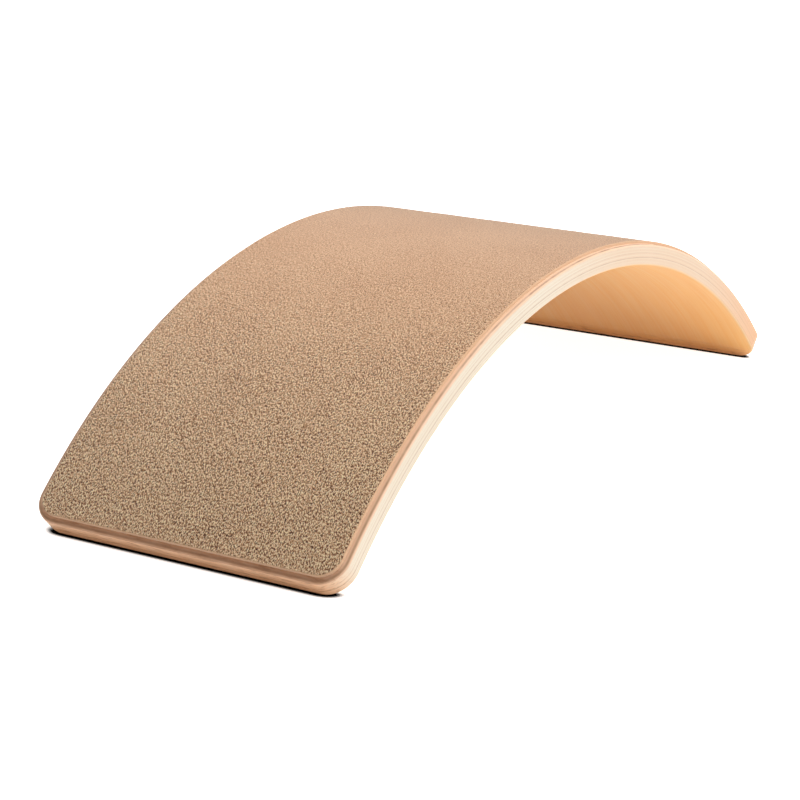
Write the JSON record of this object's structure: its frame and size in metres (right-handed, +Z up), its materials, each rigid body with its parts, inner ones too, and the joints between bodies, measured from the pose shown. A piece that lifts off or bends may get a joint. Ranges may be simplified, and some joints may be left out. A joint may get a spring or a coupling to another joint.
{
  "type": "balance board",
  "caption": "Curved balance board: a bent-laminated plywood arch with rounded corners and a felt mat on its convex face, used as a rocker, bridge, step or slide in play.",
  "frame": {"origin": "on the floor, midway between the two ends and midway across the board", "axes": "+X along the board, from the picture's near end to its far end; Y across it; +Z up"},
  "size_m": [0.8356, 0.3, 0.1916],
  "materials": {
    "face_veneer": "satin lacquer",
    "long_grain_veneer": "satin lacquer on sanded edge",
    "crossband_veneer": "satin lacquer on sanded end grain",
    "adhesive": "dried film",
    "felt": "matted wool fibre"
  },
  "bodies": {
    "root": {"veneer_01_top_face": "face_veneer", "veneer_02_crossband": "crossband_veneer", "veneer_03_long_grain": "long_grain_veneer", "veneer_04_crossband": "crossband_veneer", "veneer_05_long_grain": "long_grain_veneer", "veneer_06_crossband": "crossband_veneer", "veneer_07_long_grain": "long_grain_veneer", "veneer_08_crossband": "crossband_veneer", "veneer_09_long_grain": "long_grain_veneer", "veneer_10_crossband": "crossband_veneer", "veneer_11_long_grain": "long_grain_veneer", "veneer_12_crossband": "crossband_veneer", "veneer_13_under_face": "face_veneer", "felt_adhesive_film": "adhesive", "felt_mat": "felt"}
  },
  "joints": []
}
